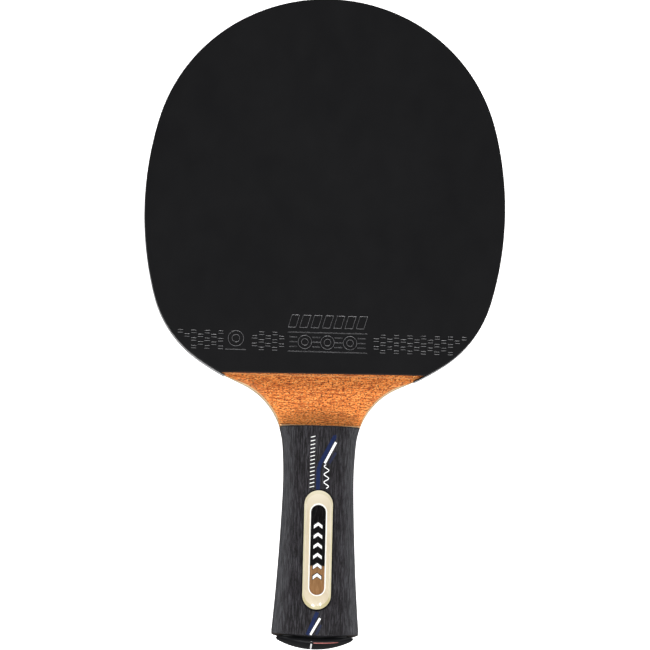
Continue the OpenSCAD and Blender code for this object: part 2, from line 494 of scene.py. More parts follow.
def stained_grip():
    """Black-stained open-grained wood along the handle, worn slightly grey; painted side light on its
    flanks, painted shadow at its front end.
    """
    p = Paint("stained_grip", Specular_IOR_Level=0.19)
    patches = p.noise(6, 16, 6, detail=3, rough=0.55)
    base = p.ramp(patches, [(0.3, (0.004, 0.003, 0.004)), (0.7, (0.010, 0.0075, 0.010))])
    grain = p.noise(0.42, 7, 0.42, detail=5, rough=0.72, distortion=0.2)
    base = p.mix(p.span(grain, 0.46, 0.62, 0.0, 0.9), base, (0.054, 0.0525, 0.060))
    pores = p.noise(0.45, 2.6, 0.45, detail=4, rough=0.65)
    pore_mask = p.span(pores, 0.51, 0.62)
    base = p.mix(p.math("MULTIPLY", pore_mask, 0.85), base, (0.004, 0.0035, 0.004))
    half = GRIP_TOP - MID_Z
    # Painted side light: the flanks are mixed toward a lighter grey.
    painted_side_light = p.span(p.away("Z", MID_Z), half * 0.5, half * 0.88, 0.8, 0.0)
    base = p.mix(p.math("MULTIPLY", painted_side_light, p.span(grain, 0.3, 0.6)), base, (0.135, 0.138, 0.148))
    # Painted shadow: the grip's front end is painted near black.
    base = p.mix(p.near_y(GRIP_Y, 0.7, 1.0), base, (0.003, 0.003, 0.003))
    p.to("Base Color", base)
    p.to("Roughness", p.span(grain, 0.3, 0.75, 0.48, 0.62))
    p.bump(pore_mask, -0.11)
    p.bump(grain, 0.08)
    return p.material


def polish(p, rough):
    """Gives a material soft polishing marks and faint waves."""
    marks = p.noise(1.2, 4, 1.2, detail=4, rough=0.6)
    p.to("Roughness", p.span(marks, 0.3, 0.75, rough, rough + 0.1))
    p.bump(p.noise(2.5, 4, 2.5, detail=2), 0.012)
    return p.material


def glossy(name, dark, light, rough, size=9, coat=0.3, shine=0.5):
    """Moulded glossy plastic with faint changes of tone."""
    p = Paint(name, Coat_Weight=coat, Coat_Roughness=0.06, Specular_IOR_Level=shine)
    tone = p.noise(size, size, size, detail=3)
    p.to("Base Color", p.ramp(tone, [(0.3, dark), (0.7, light)]))
    return polish(p, rough)


def cream_plastic(name, dark, light, pale):
    """Glossy cream plastic, painted paler at the lens's front end as a painted highlight."""
    p = Paint(name, Coat_Weight=1.0, Coat_Roughness=0.03)
    tone = p.noise(9, 9, 9, detail=3)
    base = p.ramp(tone, [(0.3, dark), (0.7, light)])
    # Painted highlight: the lens's front end is painted paler, as if lit from the crown.
    p.to("Base Color", p.mix(p.near_y(BEZEL_HIGH[1] + 1.0, 10.0, 0.9), base, pale))
    return polish(p, 0.2)


def ink(name, dark, light, rough=0.45):
    """Screen-printed ink that lets a little of the surface show through."""
    p = Paint(name, Specular_IOR_Level=0.2)
    worn = p.noise(0.5, 1.8, 0.5, detail=4, rough=0.65)
    p.to("Base Color", p.ramp(worn, [(0.3, dark), (0.65, light)]))
    p.to("Roughness", p.span(worn, 0.3, 0.7, rough, rough + 0.15))
    p.bump(worn, 0.01)
    return p.material


def window_plate():
    """The plate in the lens: near black toward the head and warm brown toward the butt."""
    p = Paint("window_plate", Coat_Weight=0.3, Coat_Roughness=0.08, Specular_IOR_Level=0.25)
    change = LENS_Y - 6.7
    side = p.span(p.axis("Y"), change - 0.25, change + 0.25)
    grain = p.noise(0.5, 5, 2, detail=3, rough=0.6)
    brown = p.ramp(grain, [(0.3, (0.18, 0.09, 0.035)), (0.7, (0.285, 0.15, 0.066))])
    black = p.ramp(grain, [(0.3, (0.002, 0.0017, 0.0018)), (0.7, (0.0050, 0.0042, 0.0045))])
    p.to("Base Color", p.mix(side, brown, black))
    p.to("Roughness", p.span(grain, 0.3, 0.7, 0.18, 0.3))
    p.bump(grain, 0.01)
    return p.material


def glue():
    """Thin cured glue, seen only as a line."""
    p = Paint("glue", Roughness=0.4)
    tone = p.noise(4, 4, 1, detail=2)
    p.to("Base Color", p.ramp(tone, [(0.3, (0.10, 0.09, 0.07)), (0.7, (0.22, 0.20, 0.16))]))
    p.bump(tone, 0.02)
    return p.material


BLACK_RUBBER = rubber("black_rubber", (0.0042, 0.0042, 0.0048), (0.0055, 0.0055, 0.0061))
RED_RUBBER = rubber("red_rubber", (0.34, 0.010, 0.012), (0.42, 0.016, 0.017))
# Lighter copies of each rubber for the marks' sloped sides: a painted highlight.
BLACK_EDGE_HIGHLIGHT = highlighted_edge("black_moulded_edge", (0.045, 0.045, 0.048), (0.10, 0.10, 0.105))
RED_EDGE_HIGHLIGHT = highlighted_edge("red_moulded_edge", (0.46, 0.030, 0.030), (0.56, 0.060, 0.055))
BLACK_FOAM = foam("black_foam", (0.006, 0.006, 0.007), (0.045, 0.045, 0.048))
TAPE = taped()
VENEER = veneer()
INNER_WOOD = ply_edge("inner_ply", (0.50, 0.33, 0.17), (0.72, 0.55, 0.35))
CORE_WOOD = ply_edge("core_ply", (0.70, 0.54, 0.34), (0.88, 0.74, 0.54))
GRIP_WOOD = stained_grip()
# The last colour of each cream is the painted highlight at the lens's front end.
CREAM = cream_plastic("cream_plastic", (0.56, 0.48, 0.34), (0.64, 0.56, 0.41), (0.74, 0.68, 0.56))
# A darker copy of the cream for the bezel's outer slopes: painted shade.
CREAM_PAINTED_SHADE = cream_plastic("cream_rim_painted_shade", (0.44, 0.385, 0.20), (0.52, 0.46, 0.27), (0.72, 0.66, 0.52))
WHITE_EDGE = glossy("white_edge", (0.90, 0.88, 0.82), (0.97, 0.95, 0.90), rough=0.2, size=4)
CAP_PLASTIC = glossy("cap_plastic", (0.005, 0.005, 0.006), (0.009, 0.009, 0.0105),
                     rough=0.3, coat=0.0, shine=0.16)
PLATE = window_plate()
GLUE = glue()
WHITE_INK = ink("white_ink", (0.88, 0.88, 0.88), (0.98, 0.98, 0.97))
BLUE_INK = ink("blue_ink", (0.003, 0.008, 0.040), (0.006, 0.016, 0.072))
FAINT_BLUE_INK = ink("faint_blue_ink", (0.012, 0.015, 0.034), (0.018, 0.022, 0.055))
RED_INK = ink("red_ink", (0.34, 0.08, 0.07), (0.46, 0.18, 0.165))
BLACK_INK = ink("black_ink", (0.006, 0.006, 0.006), (0.011, 0.011, 0.011), rough=0.3)


# ---- blade

SANDED_WIDE = 3.4
SANDED_DEEP = 1.5
LEAST_ROUND = 0.06
PLY_MARGIN = 0.6


def sanding(y):
    """How much of the full sanded round the blade's edge has: none under the rubbers and the grip."""
    return ease((RUBBER_Y - 2.0 - y) / 3.5) * ease((y - GRIP_Y + 0.5) / 5)


def sanded_inset(z):
    """Inset of the blade's edge at height z, as a function of the place along the paddle."""
    half = BLADE_TOP - MID_Z
    up = max(0.0, abs(z - MID_Z) - (half - SANDED_DEEP)) / SANDED_DEEP
    full = SANDED_WIDE * (1 - math.sqrt(max(0.0, 1 - up * up)))
    least = LEAST_ROUND * up
    return lambda y: full * sanding(y) + least


def ply(name, node, low, high, material, slot):
    """One full-length ply, with its share of the sanded edge."""
    normals = inward(BLADE_LOOP)
    outer = high if high > MID_Z else low
    count = 2 if abs(outer - MID_Z) < (BLADE_TOP - MID_Z) - SANDED_DEEP else 9
    zs = []
    for k in range(count + 1):
        t = k / count
        t = 1 - (1 - t) ** 1.8 if high > MID_Z else t**1.8
        zs.append(low + (high - low) * t)
    rings = [ring_at(BLADE_LOOP, normals, z, sanded_inset(z)) for z in zs]
    below, above = sanded_inset(low), sanded_inset(high)
    rings.insert(0, ring_at(BLADE_LOOP, normals, low, lambda y: below(y) + PLY_MARGIN))
    rings.append(ring_at(BLADE_LOOP, normals, high, lambda y: above(y) + PLY_MARGIN))
    piece(name, *loft(rings), [material], [node], slot, sharp=50)


def blade():
    """The five plies; the back ones mirror the front ones."""
    low = 2 * MID_Z - BLADE_TOP
    inner_low = 2 * MID_Z - INNER_TOP
    core_low = 2 * MID_Z - CORE_TOP
    ply("core", "core_ply", core_low, CORE_TOP, CORE_WOOD, "core_wood")
    ply("front_inner", "front_inner_ply", CORE_TOP, INNER_TOP, INNER_WOOD, "inner_wood")
    ply("back_inner", "back_inner_ply", inner_low, core_low, INNER_WOOD, "inner_wood")
    ply("front_veneer", "front_face_veneer", INNER_TOP, BLADE_TOP, VENEER, "face_wood")
    ply("back_veneer", "back_face_veneer", low, inner_low, VENEER, "face_wood")


# ---- rubbers

PIP_R = 0.85
PIP_PITCH = 2.1
PIP_TALL = 0.85
PIP_SIDES = 14
PIP_REACH = 3.4
FLUSH = 0.03
SKIN_T = RUBBER_TOP - SPONGE_TOP - PIP_TALL


def clipped(circle, point, normal):
    """The part of a convex polygon on the side of a line that its normal points to."""
    result = []
    for a, b in zip(circle, circle[1:] + circle[:1]):
        da = (a[0] - point[0]) * normal[0] + (a[1] - point[1]) * normal[1]
        db = (b[0] - point[0]) * normal[0] + (b[1] - point[1]) * normal[1]
        if da >= 0:
            result.append(a)
        if da * db < 0:
            t = da / (da - db)
            result.append((a[0] + (b[0] - a[0]) * t, a[1] + (b[1] - a[1]) * t))
    return result


def rim_pips(loop, low, high):
    """Pips of the rubber's rim, two or three rows deep, cut flush where the rim crosses them."""
    normals = inward(loop)
    parts = []
    row_step = PIP_PITCH * math.sqrt(3) / 2
    rows = int((CROWN_Y - RUBBER_Y) / row_step) + 2
    columns = int(HEAD_HIGH[0] / PIP_PITCH) + 2
    for r in range(rows):
        y = RUBBER_Y + r * row_step
        for c in range(-columns, columns + 1):
            x = (c + 0.5 * (r % 2)) * PIP_PITCH
            i = min(range(len(loop)), key=lambda k: math.dist(loop[k], (x, y)))
            edge, normal = loop[i], normals[i]
            depth = (x - edge[0]) * normal[0] + (y - edge[1]) * normal[1]
            if depth < -PIP_R * 0.6 or depth > PIP_REACH:
                continue
            circle = [(x + PIP_R * math.cos(a), y + PIP_R * math.sin(a))
                      for a in (math.tau * k / PIP_SIDES for k in range(PIP_SIDES))]
            inside = (edge[0] + normal[0] * FLUSH, edge[1] + normal[1] * FLUSH)
            shape = clipped(circle, inside, normal)
            if y - PIP_R < rubber_edge(x) + 0.1:
                shape = clipped(shape, (0, RUBBER_Y + FLUSH), (-SKEW, 1))
            if len(shape) < 4:
                continue
            parts.append(loft([level(shape, z) for z in (low, high)]))
    return join(parts)


MARK_TALL = 0.09
SHOULDER = 0.17
RING_SHOULDER = 0.16
RING_STEPS = 40
MARK_PROFILE = ((-0.05, 0.0), (0.05, 0.04), (0.93, 0.88), (1.0, 1.0))


def raised(corners_2d, base, slope=SHOULDER, slope_x=None):
    """A low raised block with sloped shoulders, on a convex outline in anticlockwise order."""
    rings = []
    for z, inset in MARK_PROFILE:
        ring = []
        n = len(corners_2d)
        for i in range(n):
            a, b, c = corners_2d[i - 1], corners_2d[i], corners_2d[(i + 1) % n]
            u = Vector((b[0] - a[0], b[1] - a[1])).normalized()
            v = Vector((c[0] - b[0], c[1] - b[1])).normalized()
            lean = Vector((-u.y - v.y, u.x + v.x))
            lean = lean / max(0.35, (1 + u.dot(v)))
            ring.append((b[0] + lean.x * (slope_x or slope) * inset, b[1] + lean.y * slope * inset,
                         base + MARK_TALL * z))
        rings.append(ring)
    return loft(rings)


def box_2d(x, y, w, h, lean=0.0):
    """Corners of a rectangle about x, y, or of a parallelogram that leans right by lean."""
    return [(x + (across * w + up * lean) / 2, y + up * h / 2) for across, up in SQUARE]


def raised_ring(x, y, outer, inner, base):
    """A low raised ring with sloped shoulders and a flat top."""
    middle, half = (outer + inner) / 2, (outer - inner) / 2
    flat = half - RING_SHOULDER
    profile = [(half, -0.05), (flat, 1.0), (-flat, 1.0), (-half, -0.05)]
    verts, faces = [], []
    n = len(profile)
    for k in range(RING_STEPS):
        a = math.tau * k / RING_STEPS
        for r, z in profile:
            verts.append((x + (middle + r) * math.cos(a), y + (middle + r) * math.sin(a),
                          base + MARK_TALL * z))
    for k in range(RING_STEPS):
        for i in range(n):
            j, m = (i + 1) % n, (k + 1) % RING_STEPS
            faces.append((k * n + i, m * n + i, m * n + j, k * n + j))
    return verts, faces


BAND_Y = RUBBER_Y + 12.9
BRICK_W, BRICK_H = 2.05, 1.25
COLUMN_PITCH, BRICK_PITCH = 2.82, 3.2
PLAQUE_X, PLAQUE_W, PLAQUE_H = 2.2, 33.1, 8.5
PLAQUE_ROOM, EMBLEM_ROOM, RIM_ROOM = 1.4, 6.2, 1.2
RIBS = 5
WHOLE_RIB = ((-0.5, 0.5),)
CUT_RIB = ((-0.48, -0.38), (-0.19, -0.09), (0.09, 0.19), (0.38, 0.48))
BARS = 7
BAR_W, BAR_H, BAR_LEAN = 3.3, 5.3, 1.5
EMBLEM_X = -36.0


def bricks(top):
    """Small raised bricks in staggered columns, clear of the plaque, the ring and the rim."""
    parts = []
    for column in range(-25, 28):
        x = column * COLUMN_PITCH
        in_plaque = abs(x - PLAQUE_X) < PLAQUE_W / 2 + PLAQUE_ROOM
        in_emblem = abs(x - EMBLEM_X) < EMBLEM_ROOM
        if in_plaque or in_emblem or abs(x) > at(SIDE, BAND_Y) - 0.7:
            continue
        rows = (-1, 0, 1) if column % 2 else (-0.5, 0.5)
        for row in rows:
            y = BAND_Y + row * BRICK_PITCH
            if abs(x) + BRICK_W / 2 < at(SIDE, y - 0.8) - RIM_ROOM:
                parts.append(raised(box_2d(x, y, BRICK_W, BRICK_H), top, slope_x=0.005))
    return parts


def plaque(top):
    """Level ribs, the outer two whole and the others broken, with three rings in the gaps."""
    parts = []
    rib_pitch = (PLAQUE_H - 0.5) / (RIBS - 1)
    for k in range(RIBS):
        y = BAND_Y - PLAQUE_H / 2 + 0.25 + k * rib_pitch
        spans = WHOLE_RIB if k in (0, RIBS - 1) else CUT_RIB
        for a, b in spans:
            cx, w = PLAQUE_X + (a + b) / 2 * PLAQUE_W, (b - a) * PLAQUE_W
            parts.append(raised(box_2d(cx, y, w, 0.4), top, slope=0.12, slope_x=0.06))
    for k in (-1, 0, 1):
        parts.append(raised_ring(PLAQUE_X + k * PLAQUE_W * 0.285, BAND_Y, 2.9, 1.3, top))
    return parts


def embossing(top):
    """The raised marks near the rubber's lower edge: bricks, a ribbed plaque, bars and a ring."""
    parts = bricks(top) + plaque(top)
    for k in range(BARS):
        x = PLAQUE_X + (k - (BARS - 1) / 2) * PLAQUE_W / BARS
        y = BAND_Y + PLAQUE_H / 2 + 4.4
        parts.append(raised(box_2d(x, y, BAR_W, BAR_H, BAR_LEAN), top))
    parts.append(raised_ring(EMBLEM_X, BAND_Y + 0.8, 3.3, 1.5, top))
    parts.append(raised(box_2d(EMBLEM_X, BAND_Y - 3.9, 8.6, 0.3), top, slope=0.13))
    return join(parts)


def flipped(part):
    """The same solid on the other side of the blade."""
    verts, faces = part
    return [(-x, y, 2 * MID_Z - z) for x, y, z in verts], faces


BACK_TRIM = 0.4
SLOPE_RISE = 0.05


def skin(loop):
    """One rubber's top sheet with its rim pips and raised marks, and a material slot for each face."""
    low = RUBBER_TOP - SKIN_T
    plain = join([sheet_block(loop, low, RUBBER_TOP, 0.05, 0.16), rim_pips(loop, SPONGE_TOP, low)])
    verts, faces = embossing(RUBBER_TOP)
    heights = [[verts[i][2] for i in face] for face in faces]
    # Sloped faces take the second material, the painted highlight.
    slots = [0] * len(plain[1]) + [int(max(h) - min(h) > SLOPE_RISE) for h in heights]
    return join([plain, (verts, faces)]), slots


def rubbers():
    """The two rubbers, each a skin on foam on glue. The back skin is trimmed a little smaller."""
    front, slots = skin(HEAD_LOOP)
    piece("front_rubber_skin", *front, [BLACK_RUBBER, BLACK_EDGE_HIGHLIGHT], ["front_topsheet"],
          "black_rubber", face_slots=slots, sharp=17)
    trimmed = [(x + nx * BACK_TRIM, y + ny * BACK_TRIM)
               for (x, y), (nx, ny) in zip(HEAD_LOOP, inward(HEAD_LOOP))]
    back, slots = skin(trimmed)
    piece("back_rubber_skin", *flipped(back), [RED_RUBBER, RED_EDGE_HIGHLIGHT], ["back_topsheet"],
          "red_rubber", face_slots=slots, sharp=17)
    foam_block = sheet_block(HEAD_LOOP, GLUE_TOP, SPONGE_TOP, 0.05, 0.05)
    piece("front_foam", *foam_block, [BLACK_FOAM], ["front_sponge"], "sponge")
    piece("back_foam", *flipped(foam_block), [BLACK_FOAM], ["back_sponge"], "sponge")
    film = sheet_block(HEAD_LOOP, BLADE_TOP, GLUE_TOP, 0.02, 0.02)
    piece("front_glue", *film, [GLUE], ["front_glue_film"], "glue")
    piece("back_glue", *flipped(film), [GLUE], ["back_glue_film"], "glue")


# ---- edge tape

TAPE_SKEW = 0.4


def edge_tape():
    """The tape runs over the crown and ends a little past each lower corner of the rubbers."""
    right_end, left_end = TAPE_LOW[1] - TAPE_SKEW, TAPE_LOW[1] + TAPE_SKEW
    run = head_side(right_end)[::-1] + [(-x, y) for x, y in head_side(left_end)[1:]]
    thick = TAPE_HIGH[0] - HEAD_HIGH[0] - 0.04
    low, high = TAPE_LOW[2], TAPE_HIGH[2]
    section = [(0.0, low), (thick * 0.6, low), (thick * 0.93, low + 0.1)]
    section += [(thick, low + (high - low) * k / 12) for k in range(1, 12)]
    section += [(thick * 0.93, high - 0.1), (thick * 0.6, high), (0.0, high)]
    rings = [[(x + nx * out, y + ny * out, z) for out, z in section]
             for (x, y), (nx, ny) in zip(run, rightward(run))]
    piece("rim_tape", *loft(rings), [TAPE], ["edge_tape"], "tape")


# ---- grip

SCALE_T = GRIP_TOP - BLADE_TOP
SECTION_POWER = 2.3
GRIP_LEN = GRIP_Y - BUTT_Y
GRIP_SIDES = 64
GRIP_ROWS = 72
END_MARGIN = 0.4


def grip_z(x, y):
    """Height of the front of the grip."""
    across = min(abs(x) / at(SIDE, y), 1.0)
    return BLADE_TOP + SCALE_T * (1 - across**SECTION_POWER) ** (1 / SECTION_POWER)


def grip_ring(along, inset):
    """Half of the grip's section, at a distance from its front end; near the butt it bows."""
    y = GRIP_Y - along
    w, t = at(SIDE, y) - inset, SCALE_T - inset
    lower = (along / GRIP_LEN) ** 4
    ring = []
    for k in range(GRIP_SIDES + 1):
        a = math.pi * k / GRIP_SIDES
        c, s = math.cos(a), math.sin(a)
        x = w * math.copysign(abs(c) ** (2 / SECTION_POWER), c)
        z = t * max(s, 0.0) ** (2 / SECTION_POWER)
        ring.append((x, y + bow(x) * lower, BLADE_TOP + z))
    return ring


def grip_half():
    """Half of the grip, with rounded ends."""
    top_round, butt_round = 0.35, 0.8
    stations = [(0.0, top_round + END_MARGIN), (0.0, top_round)]
    stations += [(top_round * (1 - math.cos(a)), top_round * (1 - math.sin(a)))
                 for a in (math.radians(30 * k) for k in range(1, 3))]
    straight = GRIP_LEN - top_round - butt_round
    stations += [(top_round + straight * k / GRIP_ROWS, 0.0) for k in range(GRIP_ROWS + 1)]
    stations += [(GRIP_LEN - butt_round * (1 - math.sin(a)), butt_round * (1 - math.cos(a)))
                 for a in (math.radians(22.5 * k) for k in range(1, 5))]
    stations += [(GRIP_LEN, butt_round + END_MARGIN)]
    return loft([grip_ring(along, inset) for along, inset in stations])


RUN_STEPS = 30
ARC_STEPS = 20


def slot_loop(width, length, grow=0.0):
    """A round-ended slot about the lens's middle, anticlockwise, with its points spread evenly."""
    r, straight = width / 2 + grow, (length - width) / 2
    loop = []
    for side in (1, -1):
        loop += [(side * r, LENS_Y + side * straight * (2 * k / RUN_STEPS - 1))
                 for k in range(RUN_STEPS)]
        loop += [(side * r * math.cos(a), LENS_Y + side * (straight + r * math.sin(a)))
                 for a in (math.pi * k / ARC_STEPS for k in range(ARC_STEPS))]
    return loop


BEZEL_W, BEZEL_L = BEZEL_HIGH[0] - BEZEL_LOW[0], BEZEL_HIGH[1] - BEZEL_LOW[1]
WINDOW_W, WINDOW_L = PLATE_HIGH[0] - PLATE_LOW[0], PLATE_HIGH[1] - PLATE_LOW[1]
POCKET_GAP = 0.6
LENS_INSET = 0.1
LENS_STEPS = 12
RIM_RINGS = 8
LIP = 0.5
LIP_DROP = 0.22
WINDOW_DROP = 0.42


def pocketed(obj):
    """Cuts the lens pocket into the front half of the grip."""
    pocket = slot_loop(BEZEL_W, BEZEL_L, POCKET_GAP)
    verts, faces = loft([level(pocket, z) for z in (BEZEL_LOW[2], GRIP_TOP + 2)])
    cutter = placed("pocket", mesh_of("pocket", verts, faces))
    modifier = obj.modifiers.new("pocket", "BOOLEAN")
    modifier.operation, modifier.object, modifier.solver = "DIFFERENCE", cutter, "EXACT"
    graph = bpy.context.evaluated_depsgraph_get()
    result = bpy.data.meshes.new_from_object(obj.evaluated_get(graph))
    obj.modifiers.clear()
    obj.data = result
    bpy.data.objects.remove(cutter)
    result.set_sharp_from_angle(angle=math.radians(32))


def grip():
    """The two half grips; only the front one has the lens's pocket."""
    half = grip_half()
    front = piece("front_grip", *half, [GRIP_WOOD], ["front_handle_scale"], "grip_wood")
    pocketed(front)
    piece("back_grip", *flipped(half), [GRIP_WOOD], ["back_handle_scale"], "grip_wood")


def lens_ring():
    """The domed bezel, with a pale bevelled lip round its window and darker cream on its outer slopes
    as painted shade.
    """
    inner_z = BEZEL_HIGH[2] - LIP_DROP
    outer = slot_loop(BEZEL_W, BEZEL_L, -LENS_INSET)
    inner = slot_loop(WINDOW_W, WINDOW_L, LIP)
    window = slot_loop(WINDOW_W, WINDOW_L)
    bed = BEZEL_LOW[2] + 0.05
    rings = [level(window, bed), level(outer, bed)]
    rings.append([(x, y, grip_z(x, y) - 0.1) for x, y in outer])
    for k in range(LENS_STEPS + 1):
        u = (k / LENS_STEPS) ** 1.5
        rise = 1 - (1 - u) ** 2.1
        ring = []
        for (ox, oy), (ix, iy) in zip(outer, inner):
            low = grip_z(ox, oy) + 0.1
            ring.append((ox + (ix - ox) * u, oy + (iy - oy) * u, low + (inner_z - low) * rise))
        rings.append(ring)
    rings.append([((a[0] + b[0]) / 2, (a[1] + b[1]) / 2, inner_z - 0.1)
                  for a, b in zip(inner, window)])
    rings.append(level(window, inner_z - WINDOW_DROP))
    verts, faces = loft(rings, caps=False)
    n = len(outer)
    last = (len(rings) - 1) * n
    faces += [(last + k, last + (k + 1) % n, (k + 1) % n, k) for k in range(n)]
    first_lip = (3 + LENS_STEPS) * n
    # Outer slopes take the darker cream, painted shade; the lip takes the white edge.
    slots = [1 if f[0] >= first_lip else 0 if f[0] >= RIM_RINGS * n else 2 for f in faces]
    piece("lens_ring", verts, faces, [CREAM, WHITE_EDGE, CREAM_PAINTED_SHADE], ["lens_bezel"],
          "cream_plastic", face_slots=slots, sharp=38)


def lens_plate():
    """The plate in the lens's window."""
    bottom, top = PLATE_LOW[2] + 0.05, PLATE_HIGH[2]
    rings = [level(slot_loop(WINDOW_W, WINDOW_L, grow), z) for z, grow in (
        (bottom, -0.6), (bottom, -0.02), (top - 0.1, -0.02), (top, -0.12), (top, -0.6))]
    piece("window_plate", *loft(rings), [PLATE], ["lens_insert"], "plate")


# ---- printed marks

INK_T = 0.035
PATCH_COLUMNS = 5


def thin_patch(top, bottom, w):
    """A closed thin patch between two matching grids of points, with w points to a row."""
    n = len(top)
    last = n // w - 1
    faces = []
    for j in range(last):
        for i in range(w - 1):
            k = j * w + i
            faces.append((k, k + 1, k + 1 + w, k + w))
            faces.append((n + k + w, n + k + 1 + w, n + k + 1, n + k))
    rim = list(range(w)) + [j * w + w - 1 for j in range(1, last + 1)]
    rim += [last * w + i for i in range(w - 2, -1, -1)]
    rim += [j * w for j in range(last - 1, 0, -1)]
    faces += [(q, p, n + p, n + q) for p, q in zip(rim, rim[1:] + rim[:1])]
    return top + bottom, faces


def printed(quads, surface, name, material, slot):
    """Thin printed patches that follow a surface: each quad is a, b, c, d in the surface's x, y."""
    parts = []
    for a, b, c, d in quads:
        along = max(2, round(max(math.dist(a, d), math.dist(b, c))))
        top, bottom = [], []
        for j in range(along + 1):
            v = j / along
            for i in range(PATCH_COLUMNS + 1):
                u = i / PATCH_COLUMNS
                x, y = ((a[m] * (1 - u) + b[m] * u) * (1 - v) + (d[m] * (1 - u) + c[m] * u) * v
                        for m in (0, 1))
                top.append(surface(x, y, INK_T))
                bottom.append(surface(x, y, -INK_T))
        parts.append(thin_patch(top, bottom, PATCH_COLUMNS + 1))
    return piece(name, *join(parts), [material], slot=slot)


def on_grip(x, y, lift):
    """A place on the front of the grip, lifted a little."""
    return (x, y, grip_z(x, y) + lift)


def on_plate(x, y, lift):
    """A place on the window plate, lifted a little."""
    return (x, y, PLATE_HIGH[2] + lift)


def over_plate(x, y, lift):
    """A place on the ink that is already on the window plate."""
    return on_plate(x, y, lift + 0.04)


def stripe(points, width):
    """Quads along a bent line, mitred at its corners."""
    half = width / 2
    sides = [((x - nx * half, y - ny * half), (x + nx * half, y + ny * half))
             for (x, y), (nx, ny) in zip(points, rightward(points))]
    return [(a[0], a[1], b[1], b[0]) for a, b in zip(sides, sides[1:])]


def grip_prints():
    """A bent blue stripe through the lens, white lines beside it, ticks and a plain wave."""
    lens_top, lens_low = BEZEL_HIGH[1], BEZEL_LOW[1]
    blue = stripe([(6.5, GRIP_Y - 3.9), (6.2, GRIP_Y - 4.4)], 0.8)
    blue += stripe([(6.2, GRIP_Y - 4.3), (0.3, GRIP_Y - 15.7), (-0.45, GRIP_Y - 18.7),
                    (-0.5, lens_top + 0.2)], 1.6)
    blue += stripe([(0.5, lens_low - 1.0), (-3.4, BUTT_Y + 0.4)], 1.6)
    printed(blue, on_grip, "blue_stripes", BLUE_INK, "grip_wood")
    white = stripe([(6.6, GRIP_Y - 6.9), (2.1, GRIP_Y - 15.8)], 0.95)
    white += stripe([(1.7, lens_low - 3.5), (-2.2, BUTT_Y + 0.5)], 0.95)
    printed(white, on_grip, "white_lines", WHITE_INK, "grip_wood")
    faint = stripe([(6.7, GRIP_Y - 11.2), (4.0, GRIP_Y - 15.8)], 1.0)
    faint += stripe([(2.1, BUTT_Y + 4.7), (0.2, BUTT_Y + 0.6)], 1.0)
    printed(faint, on_grip, "faint_blue_lines", FAINT_BLUE_INK, "grip_wood")
    marks = ladder(-3.0, lens_top + 0.6, GRIP_Y - 4.0)
    wave = [(2.9 + 1.0 * math.sin(k * 0.62), lens_top + 0.8 + k * 0.33) for k in range(31)]
    printed(marks + stripe(wave, 0.36), on_grip, "white_marks", WHITE_INK, "grip_wood")


def ladder(x, low, high):
    """A column of plain slanted ticks, evenly spaced like a scale."""
    count = 14
    pitch = (high - low) / count
    half, rise, thick = 0.95, 0.5, 0.34
    quads = []
    for k in range(count):
        y = low + (k + 0.5) * pitch - 0.45
        quads.append(((x - half, y), (x + half, y + rise),
                      (x + half, y + rise + thick), (x - half, y + thick)))
    return quads


def chevron(y, half, rise, thick):
    """The left and right arms of a chevron that points to the crown."""
    return [((-half, y), (0.0, y + rise), (0.0, y + rise + thick), (-half, y + thick)),
            ((0.0, y + rise), (half, y), (half, y + thick), (0.0, y + rise + thick))]


def plate_prints():
    """A row of plain white chevrons in the window, each on a slightly larger black one."""
    chevrons, shade = [], []
    count, pitch, half, rise, thick = 6, 4.25, 1.75, 1.3, 1.3
    for k in range(count):
        y = LENS_Y - 12.3 + k * pitch
        chevrons += chevron(y, half, rise, thick)
        shade += chevron(y - 0.35, half + 0.3, rise, thick + 0.7)
    printed(shade, on_plate, "chevron_edges", BLACK_INK, "plate")
    printed(chevrons, over_plate, "chevrons", WHITE_INK, "plate")


# ---- butt cap

CAP_HALF_W = (CAP_HIGH[0] - CAP_LOW[0]) / 2
CAP_HALF_T = (CAP_HIGH[2] - CAP_LOW[2]) / 2
CAP_DOME_R = 34.0
CAP_NECK = 0.9
CAP_GAP = 0.7
CAP_FILLET = 0.7
CAP_LIP_SCALE = 0.965
CAP_LIP_DROP = 0.4
CAP_FACE_DROP = 0.5
FACE_SCALE = 1 - CAP_FILLET / CAP_HALF_T * 0.8
DOME_RINGS = 15
CAP_SIDES = 96
DOME_INSET = 0.03


def dome_y(x, z):
    """Where the cap's domed face lies, at a place across it and a height above its middle."""
    return CAP_LOW[1] + DOME_INSET + CAP_DOME_R - math.sqrt(CAP_DOME_R**2 - x * x - z * z)


def below_butt(drop):
    """A bowed line across the cap, a distance below the end of the grip."""
    return lambda x, z: BUTT_Y + bow(x) - drop


def fillet_y(drop):
    """The dome's rim raised by drop, and kept below the cap's lip."""
    return lambda x, z: min(dome_y(x, z) + drop, below_butt(CAP_GAP + CAP_FACE_DROP)(x, z))


def cap_stations():
    """The cap's rings from the grip to its domed face: a scale, and y as a function of x and z."""
    stations = [(CAP_NECK - 0.1, below_butt(0)), (CAP_NECK, below_butt(0)),
                (CAP_NECK, below_butt(CAP_GAP)), (CAP_LIP_SCALE, below_butt(CAP_GAP)),
                (1.0, below_butt(CAP_GAP + CAP_LIP_DROP))]
    for k in range(7):
        a = math.radians(90 * k / 6)
        stations.append((1 - (1 - FACE_SCALE) * (1 - math.cos(a)),
                         fillet_y(CAP_FILLET * (1 - math.sin(a)))))
    stations += [(FACE_SCALE * (1 - k / DOME_RINGS), dome_y) for k in range(1, DOME_RINGS)]
    return stations


def cap_height(x, scale_by):
    """Height of the cap's outline above its middle, at x."""
    across = min(abs(x) / (CAP_HALF_W * scale_by), 1.0)
    return CAP_HALF_T * scale_by * (1 - across**SECTION_POWER) ** (1 / SECTION_POWER)


